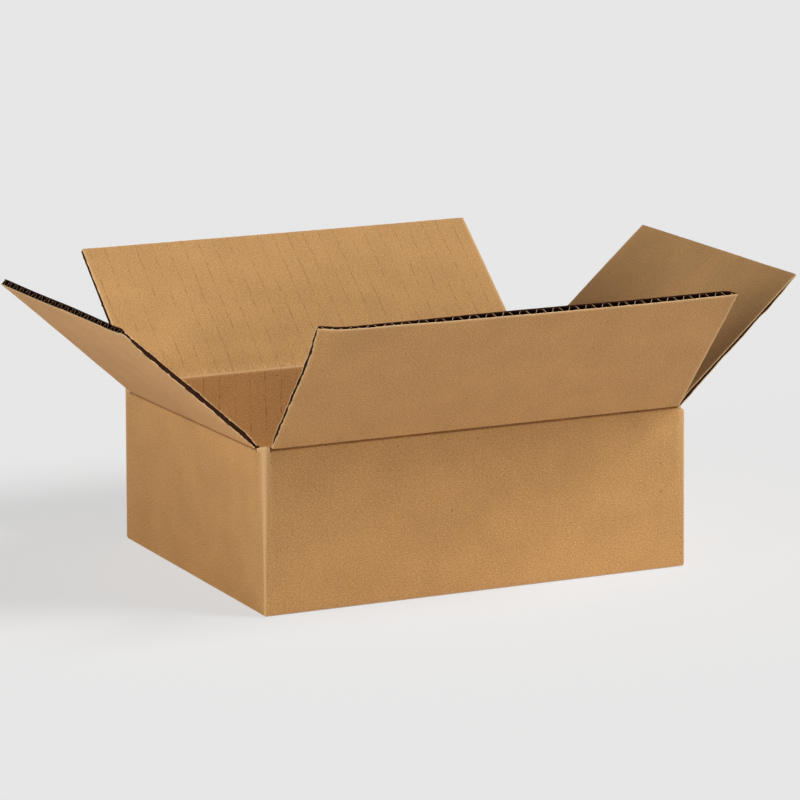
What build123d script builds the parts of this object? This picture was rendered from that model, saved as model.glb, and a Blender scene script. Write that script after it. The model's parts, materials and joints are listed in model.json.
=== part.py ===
# An open shipping box of single-wall corrugated board, set up with its bottom shut and its top flaps splayed out.
# Millimetres, +Z up. The origin is the middle of the base, the front wall faces -Y and the long walls run along X.
import os
from math import ceil, cos, radians, sin

from build123d import *

os.makedirs("parts", exist_ok=True)

# Room inside the shut box
inside_length = 200.0
inside_width = 153.0
inside_height = 60.5

# Board: two flat liners with a wavy medium between them, whose flutes run up the walls and out along the flaps
board = 3.2
liner = 0.35
medium = 0.25
glue_bite = 0.1  # how deep a crest of the medium sits in the glue on a liner
flute_pitch = 7.85
# Facets of one crest: along the half wave from its middle, and up from the middle of the board
crest_shares = ((-0.34, 0.6), (-0.15, 1.0), (0.15, 1.0), (0.34, 0.6))

# Folds
corner_round = 2.0  # outside of a vertical fold
base_round = 1.2  # outside of a bottom fold
crease_gap = 0.3  # crushed line between a wall and its flap
crush_band = 2.5  # flattened board above the bevel of a crease
stack_gap = 0.2  # between a shut long flap and the short flaps under it

# Slots between neighbouring flaps
long_slot = 0.5  # from the inner face of a short wall to the end of a long flap
short_slot = 3.8  # from the inner face of a long wall to the end of a short flap
slot_clearance = 0.3  # between the end of a flap and the web of board left at the corner
web_rise = 1.2  # height of that web above the creases beside it
seam_gap = 0.8  # between the free edges of the two long flaps when shut

# Glue tab of the maker's seam, inside the right wall at the back
tab_width = 32.0
tab_inset = 2.0  # from the shut flaps above and below to the ends of the tab
tab_slant = 5.0  # how much shorter the tab is at its free edge, at each end

# How far each flap leans outwards from upright, in degrees
front_lean = 41.0
back_lean = 51.0
left_lean = 48.0
right_lean = 48.0

# One overrun for every cut that leaves the board
overrun = 5.0

# Sizes that follow from these
length = inside_length + 2 * board
width = inside_width + 2 * board
floor_top = 2 * board
short_crease = floor_top + inside_height + board
long_crease = short_crease + stack_gap + board
web_top = long_crease + web_rise
long_depth = (width - seam_gap) / 2
short_depth = long_depth + long_crease - short_crease  # all four flaps end on one line of the flat sheet
half_gap = crease_gap / 2
long_span = inside_length - 2 * long_slot
short_span = inside_width - 2 * short_slot


def crease_plane(outward, distance, height, lean):
    """Plane on a crease: x along it, z up the flap to its free edge, y towards the flap's inner face."""
    up = Vector(0, 0, 1)
    out = Vector(outward)
    to_free_edge = up * cos(radians(lean)) + out * sin(radians(lean))
    return Plane(origin=out * distance + up * height, x_dir=up.cross(out), z_dir=to_free_edge)


def medium_section(span):
    """Cut end of the wavy medium, each crest drawn with straight facets, a little longer than the span."""
    half_wave = flute_pitch / 2
    crest = board / 2 - liner + glue_bite - medium / 2
    reach = ceil(span / flute_pitch) + 1
    middle = []
    for wave in range(-reach, reach + 1):
        way = 1 if wave % 2 else -1
        for along, rise in crest_shares:
            middle.append(Vector((wave + along) * half_wave, board / 2 + way * rise * crest))
    upper = []
    lower = []
    for before, here, after in zip(middle, middle[1:], middle[2:]):
        arriving = (here - before).normalized()
        tangent = (arriving + (after - here).normalized()).normalized()
        across = Vector(-tangent.Y, tangent.X) * (medium / 2 / tangent.dot(arriving))
        upper.append(here + across)
        lower.append(here - across)
    with BuildSketch() as section:
        with BuildLine():
            Polyline(*upper, *reversed(lower), close=True)
        make_face()
    return section.sketch


def flap(crease, span, depth):
    """One flap: a solid foot, bevelled so that it can fold inwards, and fluted board out to the free edge."""
    foot = half_gap + board + crush_band
    with BuildPart() as piece:
        with BuildSketch(Plane(origin=crease.origin, x_dir=crease.y_dir, z_dir=crease.x_dir)):
            with BuildLine():
                Polyline((0, half_gap), (board, half_gap + board), (board, foot), (0, foot), close=True)
            make_face()
        extrude(amount=span / 2, both=True)
        with BuildSketch(crease.offset(foot)):
            add(medium_section(span))
            with Locations((0, board / 2)):
                Rectangle(span, board, mode=Mode.INTERSECT)
            with Locations((0, liner / 2), (0, board - liner / 2)):
                Rectangle(span, liner)
        extrude(amount=depth - foot)
    return piece.part


# Walls, bottom flaps and glue tab, folded from one sheet
with BuildPart() as box_body:
    with BuildSketch():
        RectangleRounded(length, width, corner_round)
    extrude(amount=web_top)
    fillet(box_body.edges().group_by(Axis.Z)[0], radius=base_round)

    # Room inside, deeper between the short bottom flaps, which lie on the long ones
    with BuildSketch(Plane.XY.offset(floor_top)):
        Rectangle(inside_length, inside_width)
    extrude(amount=web_top - floor_top, mode=Mode.SUBTRACT)
    with BuildSketch(Plane.XY.offset(board)):
        Rectangle(length - 2 * short_depth, inside_width)
    extrude(amount=board, mode=Mode.SUBTRACT)

    # Under the base: the seam where the long bottom flaps meet, and the slots at their ends
    slot_place = (inside_length - long_slot) / 2
    with BuildSketch():
        Rectangle(inside_length, seam_gap)
        with Locations((slot_place, 0), (-slot_place, 0)):
            Rectangle(long_slot, inside_width)
    extrude(amount=board, mode=Mode.SUBTRACT)

    # Tops of the long walls, down to the crease between the corner webs, bevelled inside
    crease_foot = long_crease - half_gap
    for side in (1, -1):
        with BuildSketch(Plane.YZ):
            with BuildLine():
                Polyline(
                    (side * (width / 2 + overrun), crease_foot),
                    (side * width / 2, crease_foot),
                    (side * (width / 2 - board), crease_foot - board),
                    (side * (width / 2 - board - overrun), crease_foot - board),
                    (side * (width / 2 - board - overrun), web_top + overrun),
                    (side * (width / 2 + overrun), web_top + overrun),
                    close=True,
                )
            make_face()
        extrude(amount=long_span / 2 + slot_clearance, both=True, mode=Mode.SUBTRACT)

    # Tops of the short walls: lower, with the webs sloping up to the corners
    web_foot = short_span / 2 + slot_clearance
    with BuildSketch(Plane.YZ):
        with BuildLine():
            Polyline(
                (-web_foot, short_crease - half_gap),
                (web_foot, short_crease - half_gap),
                (web_foot, short_crease + web_rise),
                (inside_width / 2, web_top),
                (inside_width / 2, web_top + overrun),
                (-inside_width / 2, web_top + overrun),
                (-inside_width / 2, web_top),
                (-web_foot, short_crease + web_rise),
                close=True,
            )
        make_face()
    extrude(amount=length / 2 + overrun, both=True, mode=Mode.SUBTRACT)
    crease_foot = short_crease - half_gap
    for side in (1, -1):
        with BuildSketch(Plane.XZ):
            with BuildLine():
                Polyline(
                    (side * length / 2, crease_foot),
                    (side * inside_length / 2, crease_foot - board),
                    (side * inside_length / 2, crease_foot),
                    close=True,
                )
            make_face()
        extrude(amount=web_foot, both=True, mode=Mode.SUBTRACT)

    # Glue tab, slanted at both ends
    tab_low = floor_top + tab_inset
    tab_high = floor_top + inside_height - tab_inset
    with BuildSketch(Plane.YZ.offset(inside_length / 2 - board)):
        with BuildLine():
            Polyline(
                (inside_width / 2, tab_low),
                (inside_width / 2, tab_high),
                (inside_width / 2 - tab_width, tab_high - tab_slant),
                (inside_width / 2 - tab_width, tab_low + tab_slant),
                close=True,
            )
        make_face()
    extrude(amount=board)
box_body.part.label = "box_body"
export_step(box_body.part, "parts/box_body.step")

# The four top flaps, each at its own lean
for name, outward, distance, height, lean, span, depth in (
    ("front_flap", (0, -1, 0), width / 2, long_crease, front_lean, long_span, long_depth),
    ("back_flap", (0, 1, 0), width / 2, long_crease, back_lean, long_span, long_depth),
    ("left_flap", (-1, 0, 0), length / 2, short_crease, left_lean, short_span, short_depth),
    ("right_flap", (1, 0, 0), length / 2, short_crease, right_lean, short_span, short_depth),
):
    top_flap = flap(crease_plane(outward, distance, height, lean), span, depth)
    top_flap.label = name
    export_step(top_flap, f"parts/{name}.step")
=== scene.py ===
"""Open corrugated shipping box: worn walls, fluted flaps open at their creases, and a pale stage."""

import json
import math
from functools import partial

import bmesh
import bpy
from bpy.props import FloatProperty, FloatVectorProperty, PointerProperty
from bpy.types import Node, NodeSocket, Operator, Panel, PropertyGroup
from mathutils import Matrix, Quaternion, Vector, noise


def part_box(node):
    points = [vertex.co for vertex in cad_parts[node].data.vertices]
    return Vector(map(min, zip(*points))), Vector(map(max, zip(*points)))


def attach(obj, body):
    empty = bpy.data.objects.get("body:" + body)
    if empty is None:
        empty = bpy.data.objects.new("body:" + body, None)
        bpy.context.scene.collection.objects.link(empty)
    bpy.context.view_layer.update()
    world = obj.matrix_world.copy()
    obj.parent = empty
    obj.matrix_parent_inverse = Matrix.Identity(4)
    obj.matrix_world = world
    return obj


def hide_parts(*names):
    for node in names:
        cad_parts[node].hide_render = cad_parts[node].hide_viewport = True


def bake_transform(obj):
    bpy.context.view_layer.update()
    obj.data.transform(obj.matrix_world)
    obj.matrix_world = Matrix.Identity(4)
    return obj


bl_info = {
    "name": "Open corrugated box",
    "version": (1, 0, 0),
    "blender": (4, 5, 0),
    "location": "3D View > Sidebar > Box",
    "description": "Adds worn walls, fluted flaps and a studio stage to the packed frame of an open box",
    "category": "Object",
}

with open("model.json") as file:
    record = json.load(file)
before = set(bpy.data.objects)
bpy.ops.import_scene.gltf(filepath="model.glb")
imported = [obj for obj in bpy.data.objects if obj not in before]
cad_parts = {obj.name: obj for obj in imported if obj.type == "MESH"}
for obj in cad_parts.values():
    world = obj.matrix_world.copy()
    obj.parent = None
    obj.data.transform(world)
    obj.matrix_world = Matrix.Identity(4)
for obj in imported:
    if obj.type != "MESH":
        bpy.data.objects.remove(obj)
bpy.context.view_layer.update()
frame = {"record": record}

MM = 0.001
UP = Vector((0.0, 0.0, 1.0))
# Points closer than this are one point
SAME_PLACE = 0.001 * MM

# Walls in the order in which they lie on the unfolded sheet, from the maker's seam: back, left, front, right
WALLS = (Vector((0, 1, 0)), Vector((-1, 0, 0)), Vector((0, -1, 0)), Vector((1, 0, 0)))
body_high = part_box("box_body")[1]
HALF_LENGTH = body_high.x
HALF_WIDTH = body_high.y

# Finishes, by their place in each piece's list of materials. The third is painted shade: the fluting, and
# the liners' faces towards it, are drawn near-black for the shade deep inside the board.
OUTSIDE, INSIDE, PAINTED_FLUTE_SHADE, CUT, FLUTE_EDGE = range(5)

# Shift of the inner liner's place on the sheet, so that its fibres differ from the outer liner's
INNER_SHIFT = 1.0

# Pairs of values are for the start and the end of a crease, which run anticlockwise as seen from above
UNTOUCHED = (0.0, 0.0)
UNCRUSHED = ((0.0, 0.0, 0.0), (0.0, 0.0, 0.0))
# Wear of each flap:
# slot_crush is the share of the thickness lost along a slot edge, by the crease, at the waist and at the tip
# crush_outside is the share of that loss on the outer face, and the rest is on the inner face
# tear says how badly the slot edges are torn, as a share of the torn edge's size
# free_crush is the share of the thickness lost along the free edge, close to its ends
# free_lift and corner_curl are how far the free edge is bent inwards, in mm, as a whole and at its corners
FLAP_WEAR = {
    "flap_front": {
        "slot_crush": ((0.42, 0.30, 0.05), (0.40, 0.40, 0.70)),
        "crush_outside": 0.15,
        "tear": (0.8, 0.1),
        "free_crush": (0.48, 0.1),
        "corner_curl": (1.7, 0.0),
    },
    "flap_right": {
        "slot_crush": ((0.35, 0.50, 0.55), (0.20, 0.25, 0.20)),
        "crush_outside": 0.9,
        "tear": (0.15, 0.05),
        "free_crush": (0.2, 0.1),
    },
    "flap_back": {
        "slot_crush": ((0.30, 0.30, 0.30), (0.10, 0.20, 0.10)),
        "crush_outside": 0.9,
        "tear": (0.1, 0.7),
        "free_crush": (0.1, 0.15),
        "corner_curl": (0.0, 0.3),
    },
    "flap_left": {
        "slot_crush": ((0.20, 0.20, 0.05), (0.15, 0.25, 0.45)),
        "crush_outside": 0.3,
        "tear": (0.1, 1.0),
        "free_crush": (0.0, 0.15),
        "free_lift": (0.3, 0.0),
        "corner_curl": (0.0, 0.4),
    },
}
# How far a crease was folded above its pressed line, in mm
CREASE_LIFT = {"flap_left": (0.4, 2.6)}
# How far below the others the corner web at the end of a wall is, in mm, at the start and end of its fold
WEB_FALL = {"flap_front": (1.9, 5.6)}
# Share of the thickness lost on the inner face at the foot of a top flap
FOOT_CRUSH = 0.32
# Between the end of a flap and the corner web beside it
CLEARANCE = 0.3 * MM
# Share of the way up a flap at which its slot edges have their waist
WAIST = 0.82
# Steepness of the flutes' legs, and the share of a flute's height within which the cut medium shows pale;
# beyond it, at the crests where it meets the liners, it has the painted shade of the flutes
FLUTE_STEEPNESS = 2.8
LEG = 0.85


def linear(code):
    """Linear red, green and blue of an sRGB colour written as #RRGGBB."""
    shares = [int(code[place:place + 2], 16) / 255 for place in (1, 3, 5)]
    return [share / 12.92 if share <= 0.04045 else ((share + 0.055) / 1.055) ** 2.4 for share in shares]


def size(name, description, length, lowest=0.0):
    """A length that a user may change, given in mm."""
    return FloatProperty(
        name=name, description=description, default=length * MM, min=lowest * MM, unit="LENGTH", precision=5
    )


def angle(name, description, degrees):
    """An angle that a user may change."""
    return FloatProperty(name=name, description=description, default=math.radians(degrees), subtype="ANGLE")


def amount(name, description, default, lowest=0.0):
    """A plain number that a user may change."""
    return FloatProperty(name=name, description=description, default=default, min=lowest)


def colour(name, description, code):
    """A colour that a user may change."""
    return FloatVectorProperty(
        name=name, description=description, default=linear(code), size=3, min=0.0, max=1.0, subtype="COLOR"
    )


class BoardSettings(PropertyGroup):
    """Single-wall corrugated board."""

    thickness: size("Thickness", "From the outer face to the inner face", 3.2)
    liner: size("Liner", "Thickness of each flat liner", 0.35)
    medium: size("Medium", "Thickness of the wavy sheet between the liners", 0.25)
    flute_pitch: size("Flute pitch", "From one crest of the medium to the next", 7.85)


class WearSettings(PropertyGroup):
    """Folds and cut edges after some handling."""

    fold_top: size("Fold, top", "Outer radius of a vertical fold at its top", 2.6)
    fold_bottom: size("Fold, bottom", "Outer radius of a vertical fold at its foot", 1.0)
    base_fold: size("Base fold", "Outer radius of the folds round the base", 1.2)
    crease_dip: size("Crease dip", "Depth of the pressed line outside a flap's crease", 1.7)
    crease_lap: size("Crease lap", "How far the crushed board reaches down the wall from a crease", 7)
    torn: size("Torn edge", "How far the slot edges of a liner are torn back", 0.9)
    trim: size("Trimmed edge", "How far the free edges stray from a straight line", 0.12)
    warp: size("Warp", "How far a flap bows out of its plane", 0.7)
    crush_reach: size("Crush reach", "How far the crushed slot edges reach into a flap", 2.8)
    knock_reach: size("Knock reach", "How far a knocked free edge reaches from its corner", 62)
    web_rise: size("Web rise", "Height of the torn corner webs above the long creases", 1.4)


class SeamSettings(PropertyGroup):
    """Glue tab inside the right wall, at the back."""

    tab_width: size("Tab width", "Along the wall", 32)
    tab_low: size("Tab foot", "Height of the tab's lower end", 8.4)
    tab_high: size("Tab top", "Height of the tab's upper end", 64.9)
    tab_slant: size("Tab slant", "How much shorter the free edge is, at each end", 5)


class KraftSettings(PropertyGroup):
    """Colours of the papers."""

    outside: colour("Outer liner", "Kraft liner on the outside", "#C5945B")
    inside: colour("Inner liner", "Kraft liner on the inside", "#C5965D")
    pale_fibre: colour("Pale fibre", "Lightest fibres in the liners", "#DDBD92")
    dark_fibre: colour("Dark fibre", "Darkest fibres in the liners", "#8A5F37")
    speck: colour("Speck", "Specks of bark", "#4A2E18")
    # Also the colour of the painted highlights on the inner crease ridges and, in part, on the vertical folds
    worn: colour("Worn fold", "Paper rubbed fuzzy at folds and edges", "#EBC28F")
    # Painted shade: the brown fluting paper is drawn near-black, standing in for the shade deep in the flutes
    medium: colour("Medium", "Recycled paper of the flutes", "#3A2115")
    cut: colour("Cut liner", "Cut or torn edge of a liner", "#DDB888")
    cut_flute: colour("Cut flute", "Cut edge of the medium", "#B5926C")


class StageSettings(PropertyGroup):
    """Floor, light and camera."""

    floor: colour("Floor", "Paper sweep under the box", "#F4F4F4")
    ground: colour("Ground", "What the camera sees past the edge of the floor", "#EBEBEB")
    ground_share: FloatProperty(
        name="Ground share", description="How much of the ground's even colour the camera sees in the floor",
        default=0.75, min=0.0, max=1.0, subtype="FACTOR",
    )
    sky: colour("Sky", "Light from overhead", "#080808")
    horizon: colour("Horizon", "Light from the walls of the studio", "#343434")
    key_strength: amount("Key", "Strength of the key light", 3.2)
    key_bearing: angle("Key bearing", "To the right of the front wall's normal", 60)
    key_height: angle("Key height", "Above the horizon", 45)
    key_spread: angle("Key spread", "How wide the key light looks from the box", 30)
    fill_strength: amount("Fill", "Strength of the low fill light", 1.85)
    fill_bearing: angle("Fill bearing", "To the right of the front wall's normal", -73)
    fill_height: angle("Fill height", "Above the horizon", 4)
    fill_spread: angle("Fill spread", "How wide the fill light looks from the box", 12)
    lens: amount("Lens", "Focal length in mm on a 36 mm sensor", 204.25, 1.0)
    azimuth: angle("Azimuth", "Camera's bearing from the front wall's normal", -25.28)
    elevation: angle("Elevation", "Camera's height above the horizon", 12.06)
    distance: size("Distance", "From the camera to the point it looks at", 2063.4)
    aim_height: size("Aim height", "Height of the point that the camera is aimed by", 37.5)
    aim_right: size("Aim right", "Shift of the view to the right", -0.6, -1000)
    aim_up: size("Aim up", "Shift of the view upwards", 32.63, -1000)
    roll: angle("Roll", "Turn of the camera about its line of sight", -0.22)


def lerp(start, end, share):
    """Point or number between start and end."""
    return start + (end - start) * share


def bell(distance, reach):
    """1 at no distance, falling smoothly to nothing past the reach."""
    return math.exp(-((distance / reach) ** 2))


def wander(seed, step, *place):
    """Smooth noise from -1 to 1 that changes over the given step, the same at each run."""
    spot = Vector((*place, 0.0, 0.0)[:3]) / step
    return noise.noise(spot + Vector((17.31 * seed, 5.77 * seed, 0.37 + 2.13 * seed)))


def add_object(name, data):
    """A new object in the scene."""
    made = bpy.data.objects.new(name, data)
    bpy.context.scene.collection.objects.link(made)
    return made


class Skin:
    """Points and faces of one piece. A point knows its place on the flat sheet and how pale it is drawn, from
    wear or a painted highlight.
    """

    def __init__(self):
        self.points = []
        self.flat = []
        self.wear = []
        self.faces = []
        self.finishes = []

    def point(self, place, flat, wear=0.0):
        self.points.append(place)
        self.flat.append(flat)
        self.wear.append(min(max(wear, 0.0), 1.0))
        return len(self.points) - 1

    def face(self, corners, finish):
        """Adds a face without the corners that fall on the one before them, unless nothing of it is left."""
        kept = []
        for corner, before in zip(corners, (corners[-1], *corners)):
            if (self.points[corner] - self.points[before]).length > SAME_PLACE:
                kept.append(corner)
        spots = [self.points[corner] - self.points[kept[0]] for corner in kept[1:]]
        area = sum((here.cross(after) for here, after in zip(spots, spots[1:])), Vector())
        if area.length > SAME_PLACE ** 2:
            self.faces.append(kept)
            self.finishes.append(finish)

    def grid(self, rows, finish):
        """Four-sided faces between neighbouring rows of points."""
        for row, above in zip(rows, rows[1:]):
            for corners in zip(row, row[1:], above[1:], above):
                self.face(corners, finish)

    def side(self, near, far, end, finish):
        """Faces that join two grids along the first or the last points of their rows."""
        self.grid([[row[end] for row in near], [row[end] for row in far]], finish)

    def build(self, name):
        """Mesh object with the sheet's coordinates as a UV map and the wear, with its painted highlights, as
        an attribute.
        """
        mesh = bpy.data.meshes.new(name)
        mesh.from_pydata(self.points, [], self.faces)
        mesh.polygons.foreach_set("material_index", self.finishes)
        shape = bmesh.new()
        shape.from_mesh(mesh)
        bmesh.ops.recalc_face_normals(shape, faces=shape.faces)
        shape.to_mesh(mesh)
        shape.free()
        sheet = mesh.uv_layers.new(name="sheet")
        sheet.data.foreach_set("uv", [value for loop in mesh.loops for value in self.flat[loop.vertex_index]])
        wear = mesh.attributes.new("wear", "FLOAT", "POINT")
        wear.data.foreach_set("value", self.wear)
        for material in papers(bpy.context.scene):
            mesh.materials.append(material)
        mesh.shade_smooth()
        mesh.set_sharp_from_angle(angle=math.radians(40))
        return add_object(name, mesh)


def spread(length, step):
    """Shares from 0 to 1 along a length, close together at both ends, where the edges are cut."""
    near = [0.0, 0.35 * MM, 0.9 * MM, 1.8 * MM, 3.0 * MM]
    middle = length - 2 * near[-1]
    count = max(2, round(middle / step))
    places = near + [near[-1] + middle * part / count for part in range(1, count)]
    return [place / length for place in places] + [1 - place / length for place in reversed(near)]


def wall_reach(out):
    """From the middle of the box to the outer face of a wall."""
    return HALF_LENGTH if out.x else HALF_WIDTH


def wall_half(out):
    """Half the outer length of a wall."""
    return HALF_WIDTH if out.x else HALF_LENGTH


def sheet_middle(out):
    """Middle of a wall along the unfolded sheet."""
    order = WALLS.index(out)
    return sum(2 * wall_half(other) for other in WALLS[:order]) + wall_half(out)


class Crease:
    """Hinge of one top flap, with the directions along it, out of the wall, up the flap and inwards."""

    def __init__(self, joint, board):
        self.body = joint["child"]
        (self.node,) = frame["record"]["behaviour"]["bodies"][self.body]
        self.hinge = Vector(joint["pos_m"])
        self.out = Vector((self.hinge.x, self.hinge.y, 0)).normalized()
        self.along = UP.cross(self.out)
        # A shut flap lies level, a quarter turn from upright
        self.lean = math.radians(-joint["range_deg"][0] - 90)
        self.rise = UP * math.cos(self.lean) + self.out * math.sin(self.lean)
        self.inward = UP * math.sin(self.lean) - self.out * math.cos(self.lean)
        low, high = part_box(self.node)
        self.span = abs((high - low).dot(self.along))
        # Where the corner webs begin, to both sides of the middle
        self.web = self.span / 2 + CLEARANCE
        inner_rise = board.thickness * math.sin(self.lean)
        self.depth = (high.z - self.hinge.z - inner_rise) / math.cos(self.lean)

    def height(self, u):
        """Height of the fold at a place along it."""
        return self.hinge.z + MM * lerp(*CREASE_LIFT.get(self.body, UNTOUCHED), u / self.span + 0.5)

    def on_fold(self, u):
        return Vector((self.hinge.x, self.hinge.y, self.height(u))) + self.along * u

    def on_wall(self, u, height, inset):
        return self.on_fold(u) + UP * height - self.out * inset

    def on_flap(self, u, s, y):
        return self.on_fold(u) + self.rise * s + self.inward * y


def creases(board):
    """The four creases, by the direction that their wall faces."""
    found = [Crease(joint, board) for joint in frame["record"]["behaviour"]["joints"]]
    return {WALLS.index(crease.out): crease for crease in found}


class BoardPanel:
    """A panel of corrugated board.

    u runs across the flutes from the middle of the panel, s along them and y inwards from the outer face.
    """

    # A plain panel, where nothing else is given
    slant = 0.0
    warp = 0.0
    foot_crush = 0.0
    slot_crush = UNCRUSHED
    crush_outside = 0.5
    free_crush = UNTOUCHED
    free_lift = UNTOUCHED
    corner_curl = UNTOUCHED
    tear = (1.0, 1.0)
    row_step = 1.2 * MM
    flute_steps = 24

    def __init__(self, board, wear, place, flat, span, foot, depth, seed, **changed):
        self.board = board
        self.wear = wear
        self.place = place
        self.flat = flat
        self.span = span
        self.foot = foot
        self.depth = depth
        self.seed = seed
        self.torn = wear.trim
        for name, value in changed.items():
            setattr(self, name, value)

    def ends(self, finish, s):
        """Where a liner starts and ends across the flutes, torn back from the slots."""
        torn = self.torn * (1.0 if finish == OUTSIDE else 0.5)
        lost = []
        for side, tear in enumerate(self.tear):
            seed = self.seed + 10 * finish + side
            ragged = 0.45 + 0.6 * wander(seed, 3.1 * MM, s) + 0.4 * wander(seed, 1.3 * MM, s)
            lost.append(torn * tear * max(ragged, 0))
        return lost[0] - self.span / 2, self.span / 2 - lost[1]

    def reach(self, finish, u):
        """Where a liner begins and stops along the flutes."""
        slant = self.slant * (0.5 - u / self.span)
        stray = self.wear.trim * (0.6 + wander(self.seed + 20 + finish, 2.5 * MM, u))
        return self.foot + slant, self.depth - slant - max(stray, 0)

    def faces(self, u, s):
        """Depth of the outer and inner face below the outer face of flat, uncrushed board."""
        full = self.board.thickness
        by_edge = self.span / 2 - abs(u)
        share = (s - self.foot) / (self.depth - self.foot)
        side = 0 if u < 0 else 1
        foot_lost, waist_lost, tip_lost = self.slot_crush[side]
        if share < WAIST:
            lost = lerp(foot_lost, waist_lost, share / WAIST)
        else:
            lost = lerp(waist_lost, tip_lost, (share - WAIST) / (1 - WAIST))
        lost *= 1 + 0.35 * wander(self.seed + 32 + side, 7 * MM, s)
        lost *= full * bell(by_edge, self.wear.crush_reach)
        knocked = self.free_crush[side] * bell(by_edge, self.wear.knock_reach)
        knocked *= full * bell(self.depth - s, 9 * MM) * (1 + 0.25 * wander(self.seed + 34, 14 * MM, u))
        bow = self.warp * share * share * (wander(self.seed + 30, 90 * MM, u, s) - 0.3 * share)
        bow += 0.12 * self.warp * share * wander(self.seed + 31, 25 * MM, u, s)
        bow += MM * lerp(*self.free_lift, u / self.span + 0.5) * share * share
        bow += MM * self.corner_curl[side] * bell(by_edge, 7 * MM) * bell(self.depth - s, 12 * MM)
        at_foot = full * self.foot_crush * bell(s - self.foot, 4.5 * MM)
        outer = lost * self.crush_outside + knocked
        return bow + outer, bow + full - lost * (1 - self.crush_outside) - at_foot

    def fray(self, finish, u, s):
        """How far a torn slot edge curls in or out of its liner's plane."""
        seed = self.seed + 60 + finish + (3 if u < 0 else 0)
        curl = wander(seed, 2.6 * MM, s) + 0.5 * wander(seed, 1.1 * MM, s)
        curl *= self.tear[0 if u < 0 else 1]
        return 0.55 * self.torn * curl * bell(self.span / 2 - abs(u), 1.0 * MM)

    def edge_wear(self, finish, u, s):
        """Fuzz close to the cut edges. The knife leaves less of it on the inner liner's free edge."""
        by_slot = bell(max(self.span / 2 - abs(u), 0), 0.8 * MM)
        by_knife = bell(max(self.depth - s, 0), 0.8 * MM)
        return max(by_slot, by_knife * (0.2 if finish == INSIDE else 1.0))

    def liner(self, skin, finish):
        """One liner: rows of points on the face that shows and on the face towards the flutes."""
        shown = []
        hidden = []
        inner = finish == INSIDE
        shift = INNER_SHIFT if inner else 0.0
        columns = spread(self.span, self.board.flute_pitch / 6)
        for row in spread(self.depth - self.foot, self.row_step):
            start, end = self.ends(finish, lerp(self.foot, self.depth, row))
            shown.append([])
            hidden.append([])
            for column in columns:
                u = lerp(start, end, column)
                low, high = self.reach(finish, u)
                s = lerp(low, high, row)
                y = self.faces(u, s)[inner] + self.fray(finish, u, s)
                under = y + (-self.board.liner if inner else self.board.liner)
                across, up = self.flat(u, s)
                spot = (across, up + shift)
                fuzz = self.edge_wear(finish, u, s)
                shown[-1].append(skin.point(self.place(u, s, y), spot, fuzz))
                hidden[-1].append(skin.point(self.place(u, s, under), spot, fuzz))
        # The liner's face towards the flutes gets the painted shade of the flutes
        skin.grid(hidden, PAINTED_FLUTE_SHADE)
        # The inner liner's free edge gets the painted shade of the flutes; the outer liner's shows its pale
        # cut
        skin.grid([shown[-1], hidden[-1]], PAINTED_FLUTE_SHADE if inner else CUT)
        for end in (0, -1):
            skin.side(shown, hidden, end, CUT)
        return shown, hidden

    def medium(self, skin):
        """The wavy sheet, glued to both liners at its crests."""
        board = self.board
        first = self.foot + 1.5 * MM
        # Whole half waves from crest to crest, and a torn edge at both slots that crosses to the other liner
        margin = 0.1 * MM
        turn_over = 0.6 * MM
        even = self.span - 2 * (margin + turn_over)
        pitch = even / (round(2 * even / board.flute_pitch) / 2)
        count = math.ceil(even / pitch * self.flute_steps)
        crossing = [turn_over * part / 6 for part in range(6)]
        places = [-even / 2 - turn_over + way for way in crossing]
        places += [lerp(-even / 2, even / 2, number / count) for number in range(count + 1)]
        places += [even / 2 + turn_over - way for way in reversed(crossing)]
        rows = [0.0, 0.08, 0.2, 0.35, 0.5, 0.65, 0.78, 0.86, 0.91, 0.95, 0.98, 1.0]
        fullest = math.tanh(FLUTE_STEEPNESS)
        near = []
        far = []
        for row in rows:
            near.append([])
            far.append([])
            shares = []
            for u in places:
                slant = self.slant * (0.5 - u / self.span)
                stray = self.wear.trim * (1.6 + 1.2 * wander(self.seed + 40, 1.7 * MM, u))
                s = lerp(first + slant, self.depth - slant - stray, row)
                outer, inner = self.faces(u, s)
                middle = (outer + inner) / 2
                crest = max((inner - outer) / 2 - board.liner - board.medium / 2 - 0.02 * MM, 0.05 * MM)
                past = max(abs(u) - even / 2, 0.0)
                turn = math.pi / 2 + 2 * math.pi * (min(u, even / 2) + even / 2) / pitch
                turn += math.pi * past / turn_over
                # Steep legs between crests that are pressed flat against the liners
                bent = math.tanh(FLUTE_STEEPNESS * math.sin(turn))
                wave = bent / fullest
                steep = FLUTE_STEEPNESS * (1 - bent ** 2)
                slope = crest * steep / fullest * math.cos(turn) * 2 * math.pi / pitch
                shares.append(wave)
                if past:
                    slope *= 0.5 * pitch / turn_over * (1 if u > 0 else -1)
                lean = math.atan(slope)
                for sheet, side in ((near, -1), (far, 1)):
                    across = u - side * math.sin(lean) * board.medium / 2
                    y = middle + crest * wave + side * math.cos(lean) * board.medium / 2
                    sheet[-1].append(skin.point(self.place(across, s, y), self.flat(across, s)))
        # Both faces of the medium get the painted shade of the flutes
        skin.grid(near, PAINTED_FLUTE_SHADE)
        skin.grid(far, PAINTED_FLUTE_SHADE)
        # At the cut end the crests, where the medium meets the liners, get the painted shade of the flutes,
        # so that only the legs between them show pale
        for column, share in enumerate(shares[1:]):
            finish = FLUTE_EDGE if abs(share + shares[column]) < 2 * LEG else PAINTED_FLUTE_SHADE
            skin.grid([near[-1][column:column + 2], far[-1][column:column + 2]], finish)
        skin.grid([near[0], far[0]], PAINTED_FLUTE_SHADE)
        for end in (0, -1):
            skin.side(near, far, end, PAINTED_FLUTE_SHADE)

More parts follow.
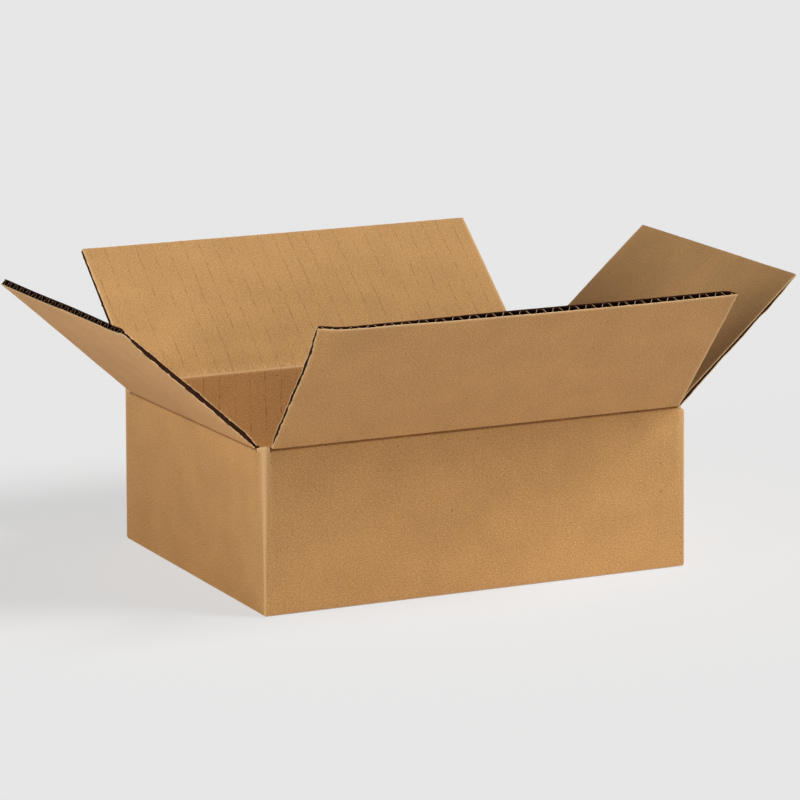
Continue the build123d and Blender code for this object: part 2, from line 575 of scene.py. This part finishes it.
    def add_to(self, skin, fold=None):
        """Liners and medium. fold gives the rows of points over the crease, outer and inner, to the foot."""
        outer, outer_under = self.liner(skin, OUTSIDE)
        inner, inner_under = self.liner(skin, INSIDE)
        # The face between the liners at the foot gets the painted shade of the flutes
        skin.grid([outer_under[0], inner_under[0]], PAINTED_FLUTE_SHADE)
        self.medium(skin)
        if fold is None:
            skin.grid([outer[0], outer_under[0]], CUT)
            skin.grid([inner[0], inner_under[0]], CUT)
            skin.grid(outer, OUTSIDE)
            skin.grid(inner, INSIDE)
            return
        fold_outer, fold_inner = fold
        skin.grid(fold_outer + outer, OUTSIDE)
        skin.grid(fold_inner + inner, INSIDE)
        # The foot of the crease strip and its ends get the painted shade of the flutes
        skin.grid([fold_outer[0], fold_inner[0]], PAINTED_FLUTE_SHADE)
        for end in (0, -1):
            skin.side(fold_outer, fold_inner, end, PAINTED_FLUTE_SHADE)
            round_end = (fold_outer[-1], outer[0], outer_under[0], inner_under[0], inner[0], fold_inner[-1])
            skin.face([row[end] for row in round_end], PAINTED_FLUTE_SHADE)


def crease_rows(skin, crease, panel):
    """Rows of points that carry both liners over the crease, from the wall to the foot of the flap."""
    wear = panel.wear
    thick = panel.board.thickness
    lap = wear.crease_lap
    foot = panel.foot
    # How far the strip stands out from the faces of the wall
    proud = 0.02 * MM
    turn_reach = 0.8 * MM

    def rows(finish, steps, spot_of):
        """A row of points along the crease for each step, with their height above it and their wear."""
        start, end = panel.ends(finish, foot)
        shift = INNER_SHIFT if finish == INSIDE else 0.0
        made = []
        for step in steps:
            made.append([])
            for column in spread(panel.span, panel.board.flute_pitch / 6):
                u = lerp(start, end, column)
                spot, height, fuzz = spot_of(u, step)
                across, up = panel.flat(u, height)
                made[-1].append(skin.point(spot, (across, up + shift), fuzz))
        return made

    def outer_wall(u, step):
        height, sink = step
        dip = wear.crease_dip * (1 + 0.3 * wander(panel.seed + 50, 12 * MM, u))
        return crease.on_wall(u, height, dip * sink - proud), height, 0.0

    def outer_flap(u, step):
        share, sink = step
        y = lerp(wear.crease_dip * sink, panel.faces(u, foot)[0], share)
        return crease.on_flap(u, foot * share, y), foot * share, 0.0

    def wall_inset(u):
        """Depth of the wall's inner face below its outer face at the ridge, less where the slots begin."""
        return thick * (0.96 - 0.5 * bell(panel.span / 2 - abs(u), 4 * MM))

    def inner_wall(u, height):
        return crease.on_wall(u, height, lerp(wall_inset(u), thick, height / -lap) + proud), height, 0.0

    def inner_turn(u, share):
        """The inner liner turns over a narrow ridge, a curve with one control point, on to the flap."""
        y = panel.faces(u, foot)[1]
        meet = (y * math.cos(crease.lean) - wall_inset(u)) / math.sin(crease.lean)
        ridge = crease.on_flap(u, meet, y)
        ridge += crease.inward * 0.12 * MM * wander(panel.seed + 51, 9 * MM, u)
        below = ridge - UP * turn_reach
        above = ridge + crease.rise * turn_reach
        spot = lerp(lerp(below, ridge, share), lerp(ridge, above, share), share)
        height = lerp(-turn_reach, turn_reach, share)
        # Painted highlight: the wear draws the ridge as a pale line, standing in for the light catching it
        return spot, height, bell(height, 0.6 * MM)

    # Height on the wall, or share of the way up to the foot, and how far the outer liner is sunk there
    on_wall = ((-lap, 0.0), (-4 * MM, 0.0), (-2 * MM, 0.0), (-0.7 * MM, 0.05), (-0.3 * MM, 0.4), (0.0, 1.0))
    on_flap = ((0.2, 0.45), (0.5, 0.08), (0.85, 0.01))
    outer = rows(OUTSIDE, on_wall, outer_wall) + rows(OUTSIDE, on_flap, outer_flap)
    inner = rows(INSIDE, (-lap, -5 * MM, -3 * MM, -1.4 * MM), inner_wall)
    inner += rows(INSIDE, (0.0, 0.25, 0.5, 0.75, 1.0), inner_turn)
    return outer, inner


def top_flap(crease, board, wear):
    """A top flap and the strip of wall round its crease, as one sheet."""
    middle = sheet_middle(crease.out)

    def flat(u, s):
        return middle + u, crease.hinge.z + s

    # The fluted board starts a little above the crease
    foot = 1.2 * MM
    seed = 100 * (1 + WALLS.index(crease.out))
    panel = BoardPanel(
        board, wear, crease.on_flap, flat, crease.span, foot, crease.depth, seed,
        torn=wear.torn, warp=wear.warp, foot_crush=FOOT_CRUSH, **FLAP_WEAR[crease.body],
    )
    skin = Skin()
    panel.add_to(skin, crease_rows(skin, crease, panel))
    piece = skin.build(crease.body + "_board")
    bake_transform(piece)
    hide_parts(crease.node)


class WallColumn:
    """An upright line of the walls: a place on a wall, or on the fold at its end if a turn is given."""

    def __init__(self, out, u, turn, across):
        self.out = out
        self.next_out = UP.cross(out)
        self.u = u
        self.turn = turn
        self.across = across
        if turn is not None:
            self.way = out * math.cos(turn) + self.next_out * math.sin(turn)

    def spot(self, z, inset, radius, bulge=0.0):
        """Point at a height, moved in by the inset from the outer face, whose folds have the given radius."""
        half = wall_half(self.out) - radius
        if self.turn is None:
            u = min(max(self.u, -half), half)
            return self.out * (wall_reach(self.out) - inset + bulge) + self.next_out * u + UP * z
        corner = self.out * (wall_reach(self.out) - radius) + self.next_out * half
        return corner + self.way * (radius - inset) + UP * z


def wall_columns(folds, wear):
    """Upright lines round the box, close together at the folds and at the ends of the flaps."""
    fold_steps = 8
    columns = []
    for order, out in enumerate(WALLS):
        half = wall_half(out)
        middle = sheet_middle(out)
        last = half - wear.fold_top - 0.4 * MM
        web = folds[order].web
        side = [last, lerp(last, web, 0.5), web + 0.1 * MM, web - 0.1 * MM, web - 2 * MM]
        count = round(2 * side[-1] / (7 * MM))
        places = [-u for u in side] + [lerp(-side[-1], side[-1], part / count) for part in range(1, count)]
        places += reversed(side)
        columns += [WallColumn(out, u, None, middle + u) for u in places]
        for step in range(fold_steps + 1):
            share = step / fold_steps
            across = middle + half + (share - 0.5) * 1.6 * wear.fold_top
            columns.append(WallColumn(out, half, share * math.pi / 2, across))
    first = columns[0]
    around = sum(2 * wall_half(out) for out in WALLS)
    columns.append(WallColumn(first.out, first.u, None, around + first.across))
    return columns


def corner_height(folds, wear, order, share):
    """Height of the torn web at the end of a wall, at a share of its way round the fold."""
    heights = [fold.hinge.z for fold in folds.values()]
    fall = MM * lerp(*WEB_FALL.get(folds[order].body, UNTOUCHED), share)
    return max(max(heights) + wear.web_rise - fall, min(heights) + 0.2 * MM)


def under_flap(column, folds):
    """Whether a column ends under a flap and not in a torn corner web."""
    return column.turn is None and abs(column.u) < folds[WALLS.index(column.out)].web


def web_height(column, folds, wear):
    """Height of the walls: just under the creases of the flaps, and up to the torn webs at the corners."""
    order = WALLS.index(column.out)
    fold = folds[order]
    if under_flap(column, folds):
        return fold.height(column.u) - 1.2 * MM
    if column.turn is None:
        corner = corner_height(folds, wear, order, 0.0)
        if column.u < 0:
            corner = corner_height(folds, wear, (order - 1) % len(WALLS), 1.0)
        share = (abs(column.u) - fold.web) / (wall_half(column.out) - fold.web)
        height = lerp(fold.height(column.u) + 0.8 * MM, corner, share)
    else:
        height = corner_height(folds, wear, order, 1 - math.cos(column.turn))
        height -= 0.5 * MM * math.sin(2 * column.turn)
    return height + 0.25 * MM * wander(7, 1.3 * MM, column.across)


def inner_height(column, folds, wear):
    """Height of the walls' inner face, which ends lower under the crushed board of the creases."""
    if under_flap(column, folds):
        return folds[WALLS.index(column.out)].height(column.u) - wear.crease_lap + 0.5 * MM
    return web_height(column, folds, wear) - 0.25 * MM


def box_walls(board, wear):
    """The four walls as one folded sheet: outer face, torn corner webs, inner face and the rim below."""
    folds = creases(board)
    columns = wall_columns(folds, wear)
    skin = Skin()
    inner_radius = 0.8 * MM
    # Heights of the rows, and from the last one the share of the way up to the uneven top
    levels = [(height * MM, 0.0) for height in (3, 6, 11, 18, 26, 34, 42, 50, 58)]
    levels += [(levels[-1][0], share) for share in (0.35, 0.65, 0.85, 0.95, 1.0)]

    def fold_wear_and_highlight(column, z):
        """Rubbed folds, partly a painted highlight: a pale fine line at the foot that widens to the corner
        web.
        """
        high = (z / body_high.z) ** 2
        if column.turn is not None:
            return lerp(0.9, 0.8, high) * bell(column.turn / math.pi * 2 - 0.5, lerp(0.22, 0.6, high))
        return 0.5 * high * bell(wall_half(column.out) - wear.fold_top - abs(column.u), 1.6 * MM)

    def bulge(column, z, top):
        if column.turn is not None:
            return 0.0
        shown = min(1, max(0, (top - 7 * MM - z) / (12 * MM))) * min(1, z / (12 * MM))
        by_fold = min(1, (wall_half(column.out) - abs(column.u)) / (15 * MM))
        return 0.25 * MM * shown * by_fold * wander(9, 45 * MM, column.across, z)

    def outer_row(low, share=0.0, inset=0.0, worn=0.0):
        row = []
        for column in columns:
            top = web_height(column, folds, wear)
            z = lerp(low, top, share)
            radius = lerp(wear.fold_bottom, wear.fold_top, z / body_high.z)
            spot = column.spot(z, inset, radius, bulge(column, z, top))
            torn = 0.0 if under_flap(column, folds) else bell(top - z, 1.6 * MM)
            fuzz = max(worn, fold_wear_and_highlight(column, z), torn)
            row.append(skin.point(spot, (column.across, z), fuzz))
        return row

    def inner_row(low, share=0.0):
        row = []
        for column in columns:
            top = inner_height(column, folds, wear)
            z = lerp(low, top, share)
            spot = column.spot(z, board.thickness, board.thickness + inner_radius)
            fuzz = 0.0 if under_flap(column, folds) else bell(top - z, 1.0 * MM)
            row.append(skin.point(spot, (column.across, INNER_SHIFT + z), fuzz))
        return row

    rim = inner_row(0.03 * MM)
    outer_rows = [rim]
    for step in range(5):
        turn = math.pi / 2 * step / 4
        inset = wear.base_fold * (1 - math.sin(turn))
        z = wear.base_fold * (1 - math.cos(turn))
        outer_rows.append(outer_row(z, 0.0, inset, 0.45 * math.sin(2 * turn)))
    outer_rows += [outer_row(*level) for level in levels]
    inner_rows = [inner_row(*level) for level in reversed(levels)]
    # The tops dip between the liners, where the flutes were crushed
    middle_row = []
    for column, outside, inside in zip(columns, outer_rows[-1], inner_rows[0]):
        spot = lerp(skin.points[outside], skin.points[inside], 0.5)
        spot = spot + UP * 0.3 * MM * (wander(8, 0.9 * MM, column.across) - 0.6)
        middle_row.append(skin.point(spot, (column.across, spot.z), 1.0))
    skin.grid(outer_rows, OUTSIDE)
    skin.grid([outer_rows[-1], middle_row, inner_rows[0]], CUT)
    skin.grid(inner_rows + [rim], INSIDE)
    piece = skin.build("box_walls")
    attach(piece, "box")
    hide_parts("box_body")


def bottom_flaps(board, wear):
    """The shut bottom: two short flaps inside, on two long ones that meet in a seam along the middle."""
    skin = Skin()
    for order, crease in creases(board).items():
        out = crease.out
        short = bool(out.x)
        height = board.thickness if short else 0.0
        foot = (3.0 if short else 1.0) * MM
        middle = sheet_middle(out)

        def place(u, s, y, out=out, along=crease.along, height=height):
            return out * (wall_reach(out) - s) + along * u + UP * (height + y)

        def flat(u, s, middle=middle):
            return middle + u, -s

        panel = BoardPanel(
            board, wear, place, flat, crease.span, foot, crease.depth, 500 + 100 * order,
            torn=wear.torn, tear=(0.3, 0.3), row_step=5 * MM, flute_steps=12,
        )
        panel.add_to(skin)
    piece = skin.build("bottom_flaps")
    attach(piece, "box")


def glue_tab(board, wear, seam):
    """The tab that closes the sheet into a tube, glued inside the right wall at the back."""
    inner_face = HALF_LENGTH - board.thickness
    middle = HALF_WIDTH - board.thickness - seam.tab_width / 2

    def place(u, s, y):
        return Vector((inner_face - y, middle + u, s))

    # On the sheet the tab lies before the first wall
    def flat(u, s):
        return -0.05 + u, s

    skin = Skin()
    panel = BoardPanel(
        board, wear, place, flat, seam.tab_width, seam.tab_low, seam.tab_high, 950,
        slant=seam.tab_slant, slot_crush=((0.4, 0.4, 0.4), (0.0, 0.0, 0.0)),
    )
    panel.add_to(skin)
    piece = skin.build("glue_tab")
    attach(piece, "box")


def add_node(tree, kind, inputs=(), **settings):
    """Adds a shader node. Its inputs, in order or by name, are constants, sockets or nodes to link from."""
    made = tree.nodes.new("ShaderNode" + kind)
    for key, value in settings.items():
        setattr(made, key, value)
    for key, value in inputs.items() if isinstance(inputs, dict) else enumerate(inputs):
        if isinstance(value, Node):
            value = value.outputs[0]
        if isinstance(value, NodeSocket):
            tree.links.new(value, made.inputs[key])
        else:
            made.inputs[key].default_value = value
    return made


def opaque(shade):
    """A colour with its alpha."""
    return (*shade, 1.0)


def new_material(name, constants):
    """A material, its node tree and its shader, with the shader's constants set."""
    material = bpy.data.materials.new(name)
    material.use_nodes = True
    shader = material.node_tree.nodes["Principled BSDF"]
    for key, value in constants.items():
        shader.inputs[key].default_value = value
    return material, material.node_tree, shader


def flute_lines(add, spot, pitch, darkest):
    """How dark the glued crests show: lines one flute apart that stray a little, broken into 4 mm dashes."""
    stray = add("TexNoise", {"Vector": spot, "Scale": 1 / 18, "Detail": 1.0}, noise_dimensions="2D")
    parts = add("SeparateXYZ", (spot,))
    moved = add("Math", (stray, 1.4, parts), operation="MULTIPLY_ADD")
    turns = add("Math", (moved, pitch), operation="DIVIDE")
    whole = add("Math", (turns,), operation="FLOOR")
    away = turns
    for operation, value in (("SUBTRACT", whole), ("SUBTRACT", 0.5), ("ABSOLUTE", 0.0)):
        away = add("Math", (away, value), operation=operation)
    line = add("MapRange", (away, 0.012, 0.04, 1.0, 0.0))
    place = add("CombineXYZ", (whole, parts.outputs[1]))
    dash = add("VectorMath", (place, (3.7, 1 / 4, 1.0)), operation="MULTIPLY")
    dashes = add("TexNoise", {"Vector": dash, "Scale": 1.0, "Detail": 2.0}, noise_dimensions="2D")
    broken = add("MapRange", (dashes, 0.45, 0.62, 0.10, darkest))
    # The glue lies thinner towards the last wall of the sheet, the right-hand one, so the lines fade there
    last = (sheet_middle(WALLS[3]) - wall_half(WALLS[3])) / MM
    thin = add("MapRange", (parts, last - 10, last + 10, 1.0, 0.15))
    # Down the walls, which were pressed while the box was folded, they show more
    fold = (INNER_SHIFT + body_high.z) / MM
    pressed = add("MapRange", (parts.outputs[1], fold - 6, fold - 1, 1.5, 1.0))
    shown = line
    for share in (broken, thin, pressed):
        shown = add("Math", (shown, share), operation="MULTIPLY")
    return shown


def kraft_liner(name, base, kraft, board, flute_marks):
    """Kraft linerboard, pressed and dried from long brown wood fibres.

    The eye sees a matt, slightly cloudy brown with a haze of pale and dark fibres, a rare speck of bark, and
    paler fuzz where folding or cutting has broken the surface. The same pale is a painted highlight on the
    inner crease ridges and, in part, on the vertical folds. On the inside the glued crests of the flutes
    show through as broken darker lines.
    """
    paper_looks = {"Roughness": 0.9, "IOR": 1.45, "Specular IOR Level": 0.2}
    fuzz_looks = {"Sheen Weight": 0.08, "Sheen Roughness": 0.5}
    material, tree, shader = new_material(name, paper_looks | fuzz_looks)
    add = partial(add_node, tree)
    sheet = add("UVMap", uv_map="sheet")
    spot = add("VectorMath", {0: sheet, "Scale": 1 / MM}, operation="SCALE")

    # Cloudy formation of the sheet, 20 mm across, and a grain of fibre ends. Real fibres are 0.03 mm wide, so
    # the grain and the fibres are drawn about 0.5 mm wide to show at all.
    cloud = add("TexNoise", {"Vector": spot, "Scale": 1 / 20, "Detail": 3.0}, noise_dimensions="2D")
    grain = add("TexNoise", {"Vector": spot, "Scale": 1 / 0.6, "Detail": 2.0}, noise_dimensions="2D")
    cloud_shade = add("MapRange", (cloud, 0.3, 0.7, 0.95, 1.05))
    grain_shade = add("MapRange", (grain, 0.2, 0.8, 0.80, 1.20))
    shade = add("Math", (cloud_shade, grain_shade), operation="MULTIPLY")
    paper = add("VectorMath", {0: tuple(base), "Scale": shade}, operation="SCALE").outputs[0]
    layers = []
    for tint, stretch, low, high, most in (
        (kraft.pale_fibre, (1 / 1.0, 1 / 0.5, 1), 0.56, 0.74, 0.42),
        (kraft.dark_fibre, (1 / 0.8, 1 / 0.6, 1), 0.58, 0.76, 0.50),
    ):
        start = (31 * most, 17 * high, 0)
        along = add("Mapping", {"Vector": spot, "Scale": stretch, "Location": start})
        fibre = add("TexNoise", {"Vector": along, "Scale": 1.0, "Detail": 1.0}, noise_dimensions="2D")
        layers.append((add("MapRange", (fibre, low, high, 0.0, most)), tint))

    # Specks of bark half a millimetre wide: a cell every 13 mm, of which one in eleven has its speck
    cells = add("TexVoronoi", {"Vector": spot, "Scale": 1 / 13}, voronoi_dimensions="2D")
    near = add("MapRange", (cells.outputs["Distance"], 0.018, 0.034, 0.75, 0.0))
    draw = add("SeparateColor", (cells.outputs["Color"],))
    chosen = add("Math", (draw, 1 / 11), operation="LESS_THAN")
    layers.append((add("Math", (near, chosen), operation="MULTIPLY"), kraft.speck))
    if flute_marks:
        layers.append((flute_lines(add, spot, board.flute_pitch / MM, flute_marks), kraft.dark_fibre))
    # Wear shows pale: rubbed and torn paper, and painted highlights on the inner crease ridges and in part on
    # the vertical folds
    fuzz = add("Attribute", attribute_name="wear")
    patchy = add("MapRange", (grain, 0.3, 0.7, 0.5, 0.95))
    layers.append((add("Math", (fuzz.outputs["Fac"], patchy), operation="MULTIPLY"), kraft.worn))
    for shown, tint in layers:
        paper = add("Mix", {0: shown, 6: paper, 7: opaque(tint)}, data_type="RGBA").outputs[2]
    rough = add("Bump", {"Height": grain, "Strength": 0.25, "Distance": 0.05 * MM})
    tree.links.new(paper, shader.inputs["Base Color"])
    tree.links.new(rough.outputs[0], shader.inputs["Normal"])
    return material


def plain_paper(name, base, grain_size, contrast):
    """Bare paper without the liner's pressed face: rough, with a coarse grain and no shine."""
    material, tree, shader = new_material(name, {"Roughness": 1.0, "Specular IOR Level": 0.1})
    add = partial(add_node, tree)
    sheet = add("UVMap", uv_map="sheet")
    grain = add("TexNoise", {"Vector": sheet, "Scale": 1 / grain_size, "Detail": 2.0}, noise_dimensions="2D")
    shade = add("MapRange", (grain, 0.25, 0.75, 1 - contrast, 1 + contrast))
    paper = add("VectorMath", {0: tuple(base), "Scale": shade}, operation="SCALE")
    tree.links.new(paper.outputs[0], shader.inputs["Base Color"])
    return material


def papers(scene):
    """The papers, in the order of the finishes. They are made once and shared by all pieces."""
    names = ("Kraft liner outside", "Kraft liner inside", "Fluting medium, painted shade", "Cut kraft board", "Cut fluting")
    if names[0] not in bpy.data.materials:
        kraft = scene.box_kraft
        board = scene.box_board
        kraft_liner(names[0], kraft.outside, kraft, board, 0.0)
        kraft_liner(names[1], kraft.inside, kraft, board, 0.62)
        # The fluting medium is painted shade: brown paper drawn near-black for the shade deep in the flutes.
        # Cut edges are pale, fuzzy fibre ends.
        plain_paper(names[2], kraft.medium, 1.2 * MM, 0.2)
        plain_paper(names[3], kraft.cut, 0.8 * MM, 0.25)
        plain_paper(names[4], kraft.cut_flute, 0.8 * MM, 0.3)
    return [bpy.data.materials[name] for name in names]


def seen_directly(add):
    """1 for what the camera sees, straight, mirrored or through glass, and 0 for what lights the box."""
    path = add("LightPath")
    seen = path.outputs["Is Camera Ray"]
    for ray in ("Is Glossy Ray", "Is Transmission Ray"):
        seen = add("Math", (seen, path.outputs[ray]), operation="MAXIMUM")
    return seen


def floor_material(stage):
    """Matt paper sweep: a plain pale ground with a soft shadow, more even to the camera than to the box."""
    material, tree, shader = new_material(
        "Paper sweep", {"Base Color": opaque(stage.floor), "Roughness": 1.0, "Specular IOR Level": 0.0}
    )
    add = partial(add_node, tree)
    even = add("Emission", {"Color": opaque(stage.ground), "Strength": 1.0})
    share = add("Math", (seen_directly(add), stage.ground_share), operation="MULTIPLY")
    mixed = add("MixShader", (share, shader, even))
    tree.links.new(mixed.outputs[0], tree.nodes["Material Output"].inputs["Surface"])
    return material


def studio_world(stage):
    """Light from the studio's pale walls, weaker from overhead. The camera sees the ground's colour."""
    world = bpy.data.worlds.new("Studio")
    world.use_nodes = True
    tree = world.node_tree
    add = partial(add_node, tree)
    way = add("TexCoord")
    parts = add("SeparateXYZ", (way.outputs["Generated"],))
    rise = add("MapRange", (parts.outputs[2], 0.08, 0.6, 0.0, 1.0))
    shown = opaque(stage.horizon)
    for share, tint in ((rise, stage.sky), (seen_directly(add), stage.ground)):
        shown = add("Mix", {0: share, 6: shown, 7: opaque(tint)}, data_type="RGBA").outputs[2]
    tree.links.new(shown, tree.nodes["Background"].inputs["Color"])
    return world


def lay_floor(stage):
    """Round floor, wide enough to fill the view, a hair below the base so that no two faces share a plane."""
    shape = bmesh.new()
    bmesh.ops.create_circle(shape, cap_ends=True, segments=96, radius=9.0)
    mesh = bpy.data.meshes.new("floor")
    shape.to_mesh(mesh)
    shape.free()
    mesh.materials.append(floor_material(stage))
    floor = add_object("floor", mesh)
    floor.location.z = -0.2 * MM


def bearing(azimuth, elevation):
    """Direction from the box at a bearing from the front wall's normal and a height above the horizon."""
    level = math.cos(elevation)
    return Vector((math.sin(azimuth) * level, -math.cos(azimuth) * level, math.sin(elevation)))


def add_lamp(name, way, strength, width):
    """A soft lamp that shines on the box from the given direction and looks as wide as the given angle."""
    lamp = bpy.data.lights.new(name, "SUN")
    lamp.energy = strength
    lamp.angle = width
    holder = add_object(name, lamp)
    # A sun shines alike from any distance
    holder.location = way * 2.0
    holder.rotation_euler = way.to_track_quat("Z", "Y").to_euler()


def aim_camera(stage):
    """Camera at the photograph's angle."""
    back = bearing(stage.azimuth, stage.elevation)
    right = UP.cross(back).normalized()
    above = back.cross(right)
    aim = UP * stage.aim_height + right * stage.aim_right + above * stage.aim_up
    lens = bpy.data.cameras.new("camera")
    lens.lens = stage.lens
    lens.sensor_width = 36.0
    lens.clip_end = 100.0
    camera = add_object("camera", lens)
    camera.location = aim + back * stage.distance
    level = back.to_track_quat("Z", "Y")
    camera.rotation_euler = (level @ Quaternion((0, 0, 1), stage.roll)).to_euler()
    bpy.context.scene.camera = camera


class BOX_OT_walls(Operator):
    """Four walls folded from one sheet"""

    bl_idname = "box.walls"
    bl_label = "Walls"

    def execute(self, context):
        scene = context.scene
        box_walls(scene.box_board, scene.box_wear)
        return {"FINISHED"}


class BOX_OT_bottom(Operator):
    """Four shut bottom flaps"""

    bl_idname = "box.bottom"
    bl_label = "Bottom flaps"

    def execute(self, context):
        scene = context.scene
        bottom_flaps(scene.box_board, scene.box_wear)
        return {"FINISHED"}


class BOX_OT_tab(Operator):
    """Glue tab of the maker's seam"""

    bl_idname = "box.tab"
    bl_label = "Glue tab"

    def execute(self, context):
        scene = context.scene
        glue_tab(scene.box_board, scene.box_wear, scene.box_seam)
        return {"FINISHED"}


class BOX_OT_flaps(Operator):
    """Four open top flaps, each with the strip of wall round its crease"""

    bl_idname = "box.flaps"
    bl_label = "Top flaps"

    def execute(self, context):
        scene = context.scene
        for crease in creases(scene.box_board).values():
            top_flap(crease, scene.box_board, scene.box_wear)
        return {"FINISHED"}


class BOX_OT_stage(Operator):
    """Floor, light and camera"""

    bl_idname = "box.stage"
    bl_label = "Stage"

    def execute(self, context):
        scene = context.scene
        stage = scene.box_stage
        scene.view_settings.view_transform = "Standard"
        scene.world = studio_world(stage)
        lay_floor(stage)
        key = bearing(stage.key_bearing, stage.key_height)
        fill = bearing(stage.fill_bearing, stage.fill_height)
        add_lamp("key", key, stage.key_strength, stage.key_spread)
        add_lamp("low fill", fill, stage.fill_strength, stage.fill_spread)
        aim_camera(stage)
        return {"FINISHED"}


class BOX_PT_sidebar(Panel):
    """Pieces and settings of the box"""

    bl_label = "Open corrugated box"
    bl_space_type = "VIEW_3D"
    bl_region_type = "UI"
    bl_category = "Box"

    def draw(self, context):
        for operator in OPERATORS:
            self.layout.operator(operator.bl_idname)
        for name in SETTINGS:
            settings = getattr(context.scene, name)
            box = self.layout.box()
            for key in settings.__annotations__:
                box.prop(settings, key)


OPERATORS = (BOX_OT_walls, BOX_OT_bottom, BOX_OT_tab, BOX_OT_flaps, BOX_OT_stage)
SETTINGS = {
    "box_board": BoardSettings,
    "box_wear": WearSettings,
    "box_seam": SeamSettings,
    "box_kraft": KraftSettings,
    "box_stage": StageSettings,
}


def register():
    for group in (*SETTINGS.values(), *OPERATORS, BOX_PT_sidebar):
        bpy.utils.register_class(group)
    for name, group in SETTINGS.items():
        setattr(bpy.types.Scene, name, PointerProperty(type=group))


def unregister():
    for name in SETTINGS:
        delattr(bpy.types.Scene, name)
    for group in (BOX_PT_sidebar, *OPERATORS, *SETTINGS.values()):
        bpy.utils.unregister_class(group)


def main():
    register()
    bpy.ops.box.walls()
    bpy.ops.box.bottom()
    bpy.ops.box.tab()
    bpy.ops.box.flaps()
    bpy.ops.box.stage()


if __name__ == "__main__":
    main()
